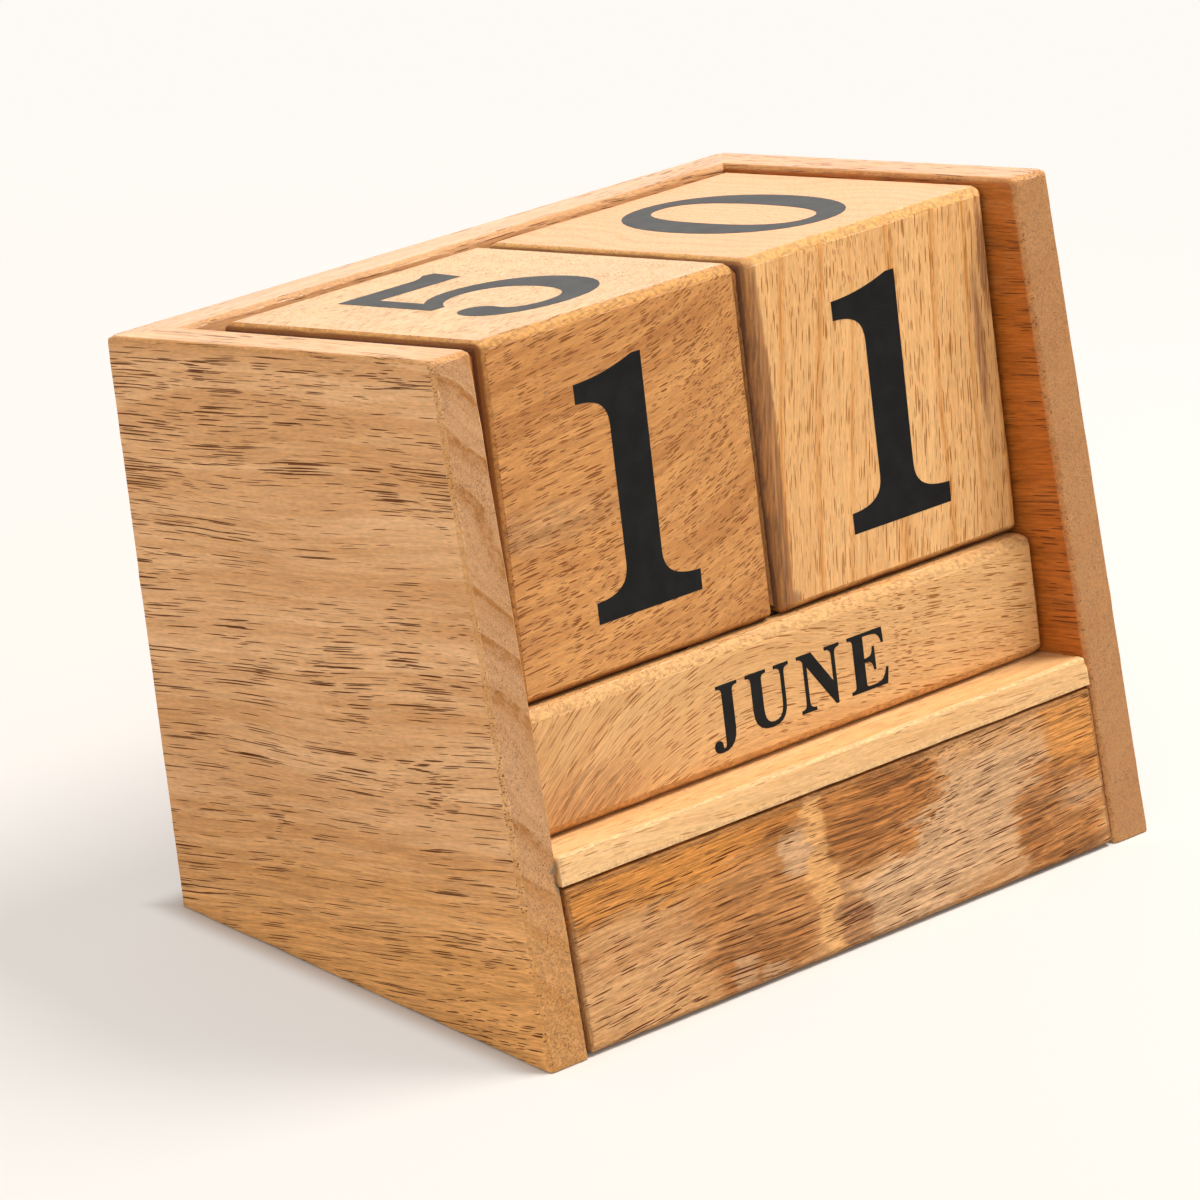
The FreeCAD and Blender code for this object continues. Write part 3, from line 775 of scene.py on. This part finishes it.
# %% Inside
inner_wood = wood("inner_wood", (0.66, 0.40, 0.20), (0.56, 0.31, 0.14), turn=(0, 1, 0), pores=0.5)
for name in ("base_board", "drawer_bottom", "drawer_left_side", "drawer_right_side", "drawer_back"):
    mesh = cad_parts[name].data
    mesh.materials.clear()
    mesh.materials.append(inner_wood)

# %% [markdown]
# ## Numerals and names
# The printing is a bold roman with heavy stems, thin strokes and bracketed serifs.  Each
# character is a closed outline on a grid where capitals are 100 high: M starts a loop, L
# draws a straight line and C a curve with its two handles, as in any drawing program.  A
# loop inside another one is left open when the curve is filled.

# %% The characters: width and outline
CHARACTERS = {
    "0": (72,
        "M36 101 C58 101 72 80 72 50 C72 20 58 -1 36 -1 C14 -1 0 20 0 50 C0 80 14 101 36 101 M36 91 "
        "C23 91 18 76 18 50 C18 24 23 9 36 9 C49 9 54 24 54 50 C54 76 49 91 36 91"),
    "1": (58,
        "M0 0 L57.8 0 L58 8.3 C46 8.6 38.2 11 38.2 20 L39.1 100 L34 100 C24 96.8 13 94.8 1.1 94.6 "
        "L1.1 86.8 C12 86.6 18.4 84 18.4 75 L18.2 20 C18.2 11 10 8.6 0 8.5"),
    "2": (66,
        "M0 0 L62 0 L66 27 L60 27 C59 20 56 17 48 17 L22 17 C34 30 64 44 64 70 C64 89 50 101 31 101 "
        "C13 101 1 90 1 76 C1 69 5 64 11.5 64 C18 64 21.5 68.5 21.5 74 C21.5 79 17.5 80.5 17.5 84.5 "
        "C17.5 89.5 22.5 92.5 28.5 92.5 C38.5 92.5 43.5 85 43.5 71 C43.5 50 26 34 0 7"),
    "3": (64,
        "M29 101 C46 101 58 91 58 77 C58 66 51 57.5 41 54.5 C54 51.5 64 42 64 28 C64 10 49 -1 29 -1 "
        "C12 -1 0 8 0 20 C0 27 5 31.5 11 31.5 C17.5 31.5 21 27 21 21.5 C21 16.5 17.5 14.5 17.5 12 "
        "C17.5 9 22 7.5 27.5 7.5 C37.5 7.5 43.5 15 43.5 28 C43.5 43 36 50 22 50 L20 50 L20 57.5 "
        "L22 57.5 C34 58 39 65 39 77 C39 87.5 35 92.5 27 92.5 C22 92.5 18.5 90.5 18.5 87.5 "
        "C18.5 84.5 21.5 82.5 21.5 77.5 C21.5 72 18 68.5 12.5 68.5 C6.5 68.5 2.5 73 2.5 79 "
        "C2.5 91.5 13 101 29 101"),
    "4": (69,
        "M57 100 L57 34 L69 34 L69 24 L57 24 L57 17 C57 10.5 60 8 68 7.5 L68 0 L26 0 L26 7.5 "
        "C35 8 38 10.5 38 17 L38 24 L0 24 L0 33 L42 100 M38 34 L38 78 L10.5 34"),
    "5": (69.3,
        "M3.5 96.7 L45 96 C48 96.5 50.5 98 53.5 100 L58.8 98.5 L57 81.8 L12.6 82.6 L12.6 57.5 "
        "C18 62 24.5 64.7 33 64.7 C54 64.7 69.3 50 69.3 29.5 C69.3 10 54 -1.2 34 -1.2 "
        "C14 -1.2 0 9 0 21 C0 27.5 3.5 31.7 8.5 31.7 C13.5 31.7 16.6 27.5 16.6 23.5 "
        "C16.6 19 15.4 17.5 17.2 14 C19.5 9.9 25 8 31.5 8 C43.5 8 50.9 17 50.9 31 "
        "C50.9 46 42 54.8 30 54.8 C21.5 54.8 15 51 10.5 43.7 L3.5 44"),
    "6": (70,
        "M37 -1 C57 -1 70 12 70 32 C70 50 58 62 42 62 C34 62 27 59 22 53 C24 76 34 90 60 96 L58.5 101 "
        "C24 96 0 74 0 40 C0 15 14 -1 37 -1 M36.5 7.5 C26 7.5 20.5 17 20.5 36 C20.5 40 20.8 44 21.3 47 "
        "C24.5 51.5 28.5 53 33 53 C44 53 49.5 45 49.5 30 C49.5 15 45 7.5 36.5 7.5"),
    "7": (66,
        "M0 100 L66 100 L66 93 C50 66 41 38 39 12 C38.5 4 35 -1 28 -1 C21 -1 17 4 17 11 "
        "C17 32 34 60 53 82 L22 82 C12 82 8 78 6 69 L0 69"),
    "8": (68,
        "M34 101 C52 101 63 91 63 77 C63 66 56 59 47 54.5 C60 49.5 68 40.5 68 27.5 "
        "C68 10.5 54 -1 33.5 -1 C14 -1 0 9.5 0 26 C0 38 7.5 46 20 51 C10 56 4.5 64 4.5 75 "
        "C4.5 90.5 16.5 101 34 101 M34.5 93 C26 93 21.5 87.5 21.5 80 C21.5 71 28 65 41 58 "
        "C46 63 48.5 68.5 48.5 76 C48.5 87 43.5 93 34.5 93 M33.5 7 C43.5 7 49.5 13 49.5 22 "
        "C49.5 32 42 38.5 26 47 C19 41 16.5 35 16.5 27 C16.5 14.5 23 7 33.5 7"),
}
STEM = "C9 94 12 92 12 85 L12 15 C12 8 9 6 0 6"      # a left stem, from its top serif to its foot
CHARACTERS.update({
    "A": (104,
        "M-2 0 L33 0 L33 6 C25 6 21.5 8.5 21.5 13 C21.5 15 22 17 23 19.5 L27 30 L61 30 L66 17.5 "
        "C67 15 67.5 13 67.5 11.5 C67.5 8 64.5 6 57 6 L57 0 L106 0 L106 6 C98 6 95 9 92 16.5 L57 102 "
        "L48 102 L16 18 C12.5 9 8.5 6 -2 6 M29.5 37 L43.5 74 L58.5 37"),
    "B": (94,
        "M0 0 L56 0 C82 0 94 10 94 27 C94 41 84 49.5 68 52 C81 55 88 62.5 88 75 C88 91 76 100 54 100 "
        "L0 100 L0 94 " + STEM + " M38 55.5 L38 93.5 L47 93.5 C57 93.5 61 88 61 75 "
        "C61 61 57 55.5 46 55.5 M38 6.5 L38 48.5 L46 48.5 C60 48.5 66 42 66 27.5 C66 13 60 6.5 48 6.5"),
    "C": (94,
        "M92 100 L86 100 C84.5 97 82 95.5 78 95.5 C72 95.5 65 101.5 51 101.5 C22 101.5 0 80 0 49 "
        "C0 19 20 -1.5 51 -1.5 C70 -1.5 84 5.5 94 20 L89.5 24.5 C80 13 71 7.5 58 7.5 "
        "C38 7.5 28 21 28 50 C28 79 36 93.5 53 93.5 C69 93.5 81 84 87.5 65.5 L93 65.5"),
    "D": (104,
        "M0 0 L50 0 C84 0 104 18 104 50 C104 82 85 100 52 100 L0 100 L0 94 " + STEM + " M38 7 L38 93 "
        "L46 93 C68 93 76 80 76 50 C76 20 68 7 47 7"),
    "E": (95,
        "M0 0 L90 0 L95 29 L89 29 C84 12 77 6.5 58 6.5 L46 6.5 C40 6.5 38.5 8 38.5 13 L38.5 48 L44 48 "
        "C55 48 58 43 59.5 31 L65 31 L65 72 L59.5 72 C58 60 54 55.5 44 55.5 L38.5 55.5 L38.5 93.5 "
        "L54 93.5 C72 93.5 79 89 83 73 L88.5 73 L87 100 L0 100 L0 94 " + STEM),
    "F": (86,
        "M0 0 L54 0 L54 6 C41 6 38.5 8 38.5 15 L38.5 47 L44 47 C54 47 57 42 58.5 30 L64 30 L64 71 "
        "L58.5 71 C57 59 53 54.5 44 54.5 L38.5 54.5 L38.5 93.5 L52 93.5 C69 93.5 76 89 80 72 L85.5 72 "
        "L84 100 L0 100 L0 94 " + STEM),
    "G": (108,
        "M95 100 L89 100 C87.5 97 85 95.5 81 95.5 C75 95.5 67 101.5 53 101.5 C23 101.5 0 80 0 49 "
        "C0 19 21 -1.5 54 -1.5 C70 -1.5 85 3 97 11 L97 33 C97 40 99.5 43 108 43.5 L108 49.5 L57 49.5 "
        "L57 43.5 C67.5 43 71 40 71 33 L71 11.5 C66.5 8 62 6.5 56.5 6.5 C38 6.5 28 21 28 50 "
        "C28 79 37 93.5 55 93.5 C71 93.5 83 84 90 65.5 L95.5 65.5"),
    "H": (110,
        "M0 0 L50 0 L50 6 C41 6 38 8 38 15 L38 47.5 L72 47.5 L72 15 C72 8 69 6 60 6 L60 0 L110 0 "
        "L110 6 C101 6 98 8 98 15 L98 85 C98 92 101 94 110 94 L110 100 L60 100 L60 94 "
        "C69 94 72 92 72 85 L72 55 L38 55 L38 85 C38 92 41 94 50 94 L50 100 L0 100 L0 94 " + STEM),
    "I": (50,
        "M0 0 L50 0 L50 6 C41 6 38 8 38 15 L38 85 C38 92 41 94 50 94 L50 100 L0 100 L0 94 " + STEM),
    "J": (68,
        "M16 100 L16 94 C25 94 29 92 29 85 L29 6 C29 -3 28 -6.5 24 -6.5 C21.5 -6.5 21 -5 21 -2 "
        "C21 4.5 17 8.5 10.5 8.5 C4 8.5 0 4.5 0 -1.5 C0 -9 7 -13.5 19 -13.5 C40 -13.5 55 -3 55 22 "
        "L55 85 C55 92 59 94 68 94 L68 100"),
    "L": (87,
        "M0 0 L84 0 L87 32 L81 32 C77 14 70 7 52 7 L44 7 C39 7 38 8 38 12 L38 85 C38 92 41 94 52 94 "
        "L52 100 L0 100 L0 94 " + STEM),
    "M": (132,
        "M0 0 L36 0 L36 6 C25 6 21.5 9 21.5 19 L21.5 80 L22 80 L54 0 L60 0 L94 82 L94 15 "
        "C94 8 91 6 82 6 L82 0 L132 0 L132 6 C123 6 120 8 120 15 L120 85 C120 92 123 94 132 94 "
        "L132 100 L95 100 L66.5 33 L39 100 L0 100 L0 94 C9 94 12.5 91 12.5 82 L12.5 19 "
        "C12.5 9 9.5 6 0 6"),
    "N": (106,
        "M0 100 L0 94 C7 94 10 92 14 87 L14 19 C14 9 11 6 1 6 L1 0 L38 0 L38 6 C27 6 23 9 23 19 L23 77 "
        "L86 -1.5 L93 -1.5 L93 81 C93 91 96 94 106 94 L106 100 L69 100 L69 94 C80 94 84 91 84 81 "
        "L84 39 L36 100"),
    "O": (104,
        "M52 101.5 C82 101.5 104 80 104 50 C104 20 82 -1.5 52 -1.5 C22 -1.5 0 20 0 50 "
        "C0 80 22 101.5 52 101.5 M52 94.5 C35 94.5 28 80 28 50 C28 20 35 5.5 52 5.5 "
        "C69 5.5 76 20 76 50 C76 80 69 94.5 52 94.5"),
    "P": (89,
        "M0 0 L54 0 L54 6 C41 6 38.5 8 38.5 15 L38.5 45.5 L52 45.5 C76 45.5 89 55.5 89 73 "
        "C89 90.5 77 100 53 100 L0 100 L0 94 " + STEM + " M38.5 52.5 L38.5 93.5 L46 93.5 "
        "C57 93.5 61.5 87.5 61.5 73 C61.5 58.5 57 52.5 46 52.5"),
    "R": (108,
        "M0 0 L51 0 L51 6 C41 6 38.5 8 38.5 15 L38.5 46.5 L43 46.5 L72 0 L108 0 L108 6 "
        "C101.5 6 98.5 8 94 14 L69 49 C82.5 52.5 90 61 90 73.5 C90 90.5 77 100 54 100 L0 100 L0 94 " + STEM +
        " M38.5 53.5 L38.5 93.5 L47 93.5 C58 93.5 62.5 87.5 62.5 74 C62.5 60 58 53.5 46 53.5"),
    "S": (76,
        "M4 34 L9.5 34 C14.5 16 23.5 5.5 38 5.5 C48 5.5 54 11.5 54 19.5 C54 28 48 33 33 40 "
        "C13 49.5 3.5 57.5 3.5 73 C3.5 90 16 101.5 34 101.5 C41 101.5 48 98.5 52.5 98.5 "
        "C55.5 98.5 57.5 99.5 59 101.5 L64 101.5 L66 69 L60.5 69 C55.5 85 47 94.5 35.5 94.5 "
        "C26.5 94.5 21 89.5 21 82 C21 74 27 69.5 42 62.5 C62 53 72.5 45 72.5 28.5 "
        "C72.5 10.5 59 -1.5 39 -1.5 C30.5 -1.5 24 2 18.5 2 C14.5 2 11.5 1 9.5 -1.5 L4 -1.5"),
    "T": (94,
        "M20 0 L74 0 L74 6 C63 6 60 8 60 15 L60 93.5 L66 93.5 C80 93.5 85 88 88.5 72 L94 72 L93 100 "
        "L1 100 L0 72 L5.5 72 C9 88 14 93.5 28 93.5 L34 93.5 L34 15 C34 8 31 6 20 6"),
    "U": (106,
        "M0 100 L0 94 C9 94 12 92 12 85 L12 36 C12 11 26 -1.5 54 -1.5 C81 -1.5 93 10 93 35 L93 82 "
        "C93 91 96 94 106 94 L106 100 L69 100 L69 94 C80 94 84 91 84 82 L84 37 C84 17 76 7.5 60 7.5 "
        "C45 7.5 38 16 38 37 L38 85 C38 92 41 94 50 94 L50 100"),
    "V": (104,
        "M0 100 L0 94 C8 94 11 91 14.5 82.5 L49 -1.5 L57 -1.5 L88 81.5 C91.5 91 95 94 104 94 L104 100 "
        "L71 100 L71 94 C79 94 82.5 91.5 82.5 87.5 C82.5 85.5 82 83.5 81 80.5 L62 29.5 L41 81.5 "
        "C39.8 84.5 39.5 86.5 39.5 88 C39.5 92 42.5 94 49.5 94 L49.5 100"),
    "Y": (104,
        "M25 0 L81 0 L81 6 C69 6 66 8 66 15 L66 42 L88 80.5 C93 89.5 97 93 106 94 L106 100 L71 100 "
        "L71 94 C78 93.5 81.5 91.5 81.5 87.5 C81.5 85 80.5 82.5 78.5 79 L62.5 50.5 L44.5 80.5 "
        "C42.5 84 41.8 86 41.8 88 C41.8 92 45 94 52 94 L52 100 L-2 100 L-2 94 C6.5 93.5 10 90.5 15 82 "
        "L40 40 L40 15 C40 8 37 6 25 6"),
})
print(len(CHARACTERS), "characters")


# %% From an outline to a curve
def add_loops(curve, outline, scale, shift):
    """Turn one character's outline into closed Bezier loops of a flat curve."""
    for loop in outline.split("M")[1:]:
        corners = []                     # each is [point, handle before, handle after]
        for step in loop.replace("L", "|L").replace("C", "|C").split("|"):
            numbers = [float(word) for word in step.strip("LC ").split()]
            points = [Vector((x * scale + shift[0], y * scale + shift[1], 0))
                      for x, y in zip(numbers[::2], numbers[1::2])]
            if step[0] == "C":
                corners[-1][2] = points[0]
                corners.append([points[2], points[1], None])
            else:
                corners.append([points[0], None, None])
        if (corners[0][0] - corners[-1][0]).length < 1e-9:
            corners[0][1] = corners[-1][1]
            corners.pop()
        spline = curve.splines.new("BEZIER")
        spline.bezier_points.add(len(corners) - 1)
        for point, (place, before, after) in zip(spline.bezier_points, corners):
            point.co = place
            point.handle_left_type = "FREE" if before else "VECTOR"
            point.handle_right_type = "FREE" if after else "VECTOR"
            if before:
                point.handle_left = before
            if after:
                point.handle_right = after
        spline.use_cyclic_u = True


# %% [markdown]
# ## Printing
# A word is one flat curve, filled and made a few hundredths of a millimetre thick, so that
# it stands on the wood as a real layer of ink does.  It is made a mesh while it still lies
# flat, and is then turned onto its face of the block.  A block's four long faces are
# reached by rolling it forward, which is what its owner does.

# %% Ink finish
def ink_finish():
    material, tree = start_material("ink")
    place = tree.add("Mapping", {"vector_type": "TEXTURE"}, Vector=tree.add("TexCoord", out=3),
                     Scale=(MM, MM, MM))
    cloud = tree.noise(place, (0.35, 0.35, 0.35), 4.0)
    scratch = tree.noise(place, (0.25, 5.0, 5.0), 2.0)
    colour = tree.mix(tree.step(cloud, 0.3, 0.8), (0.0075, 0.0080, 0.0084), (0.0130, 0.0136, 0.0138))
    scraped = tree.times(tree.step(scratch, 0.62, 0.8), 0.35)
    colour = tree.mix(scraped, colour, (0.035, 0.033, 0.030))
    bump = tree.add("Bump", Strength=0.25, Distance=0.03 * MM, Height=scratch)
    rough = tree.plus(tree.times(cloud, 0.15), 0.42)
    tree.add("OutputMaterial", Surface=tree.add(
        "BsdfPrincipled", Base_Color=colour, Roughness=rough, Specular_IOR_Level=0.13, Normal=bump))
    return material


INK = ink_finish()
INK_LAYER = 0.03 * MM
LETTER_GAP = 20                    # on the grid where capitals are 100 high
NUMERAL_HEIGHT, NAME_HEIGHT = 34.8, 8.2


# %% Print a word on a face
def print_word(name, word, capital, centre, roll, turn, body, shift=(0, 0)):
    """capital: letter height; centre: the face's middle in the maker's square; roll, turn: degrees;
    shift: how far the print sits to the right of the middle and above it."""
    scale = capital / 100 * MM
    span = sum(CHARACTERS[c][0] for c in word) + LETTER_GAP * (len(word) - 1)
    curve = bpy.data.curves.new(name, "CURVE")
    curve.dimensions, curve.fill_mode = "2D", "BOTH"
    curve.extrude = INK_LAYER
    curve.resolution_u = 10 if len(word) == 1 else 5
    pen = -span / 2
    for character in word:
        width, outline = CHARACTERS[character]
        add_loops(curve, outline, scale, (pen * scale, -50 * scale))
        pen += width + LETTER_GAP
    piece = bpy.data.objects.new(name, curve)
    bpy.context.scene.collection.objects.link(piece)
    bpy.ops.object.select_all(action="DESELECT")
    piece.select_set(True)
    bpy.context.view_layer.objects.active = piece
    bpy.ops.object.convert(target="MESH")
    piece = bpy.context.active_object
    bpy.ops.object.mode_set(mode="EDIT")
    bpy.ops.mesh.select_all(action="SELECT")
    bpy.ops.mesh.remove_doubles(threshold=0.0005 * MM)
    bpy.ops.mesh.normals_make_consistent(inside=False)
    bpy.ops.object.mode_set(mode="OBJECT")
    piece.rotation_euler = Euler((math.radians(roll), 0, math.radians(turn)))
    piece.location = (Vector(centre) + piece.rotation_euler.to_matrix() @ Vector((*shift, 0))) * MM
    bpy.ops.object.transform_apply(location=True, rotation=True, scale=True)
    piece.rotation_euler = (-LEAN, 0, 0)
    piece.location = TOE
    bpy.ops.object.transform_apply(location=True, rotation=True, scale=True)
    piece.data.materials.append(INK)
    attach(piece, body)


FACES = {"top": ((0, 0, 1), 0, 0), "front": ((0, -1, 0), 90, 0), "bottom": ((0, 0, -1), 180, 0),
         "rear": ((0, 1, 0), 270, 0), "left": ((-1, 0, 0), 90, -90), "right": ((1, 0, 0), 90, 90)}


def face_centre(left, front, seat, length, section, face):
    way = Vector(FACES[face][0])
    middle = Vector((left + length / 2, front + section / 2, seat + section / 2))
    return middle + Vector((way.x * length / 2, way.y * section / 2, way.z * section / 2))


# %% Numerals on the cubes
TENS = {"front": "1", "top": "5", "left": "0", "right": "3", "rear": "2", "bottom": "4"}
UNITS = {"front": "1", "top": "0", "left": "7", "right": "2", "rear": "6", "bottom": "8"}
SHIFTS = {"front": (1.2, 0), "rear": (-0.6, 0)}
for cube, left, digits in (("tens", TENS_LEFT, TENS), ("units", UNITS_LEFT, UNITS)):
    for face, digit in digits.items():
        centre = face_centre(left, CUBE_FRONT, CUBE_SEAT, CUBE, CUBE, face)
        _, roll, turn = FACES[face]
        print_word(cube + "_numeral_" + digit, digit, NUMERAL_HEIGHT, centre, roll, turn,
                   cube + "_cube", SHIFTS.get(face, (0, 0)))

# %% Names on the bars
MONTHS = {"front": ("JUNE", "JULY", "AUGUST", "MAY"),
          "middle": ("OCTOBER", "NOVEMBER", "DECEMBER", "SEPTEMBER"),
          "rear": ("JANUARY", "FEBRUARY", "MARCH", "APRIL")}
for place, months in MONTHS.items():
    for face, month in zip(("front", "top", "rear", "bottom"), months):
        centre = face_centre(-BAR_LENGTH / 2, BAR_FRONTS[place], BAR_SEAT, BAR_LENGTH, BAR, face)
        _, roll, turn = FACES[face]
        print_word("name_" + month.lower(), month, NAME_HEIGHT, centre, roll, turn,
                   place + "_bar", (2.5, -0.6) if face == "front" else (0, 0))
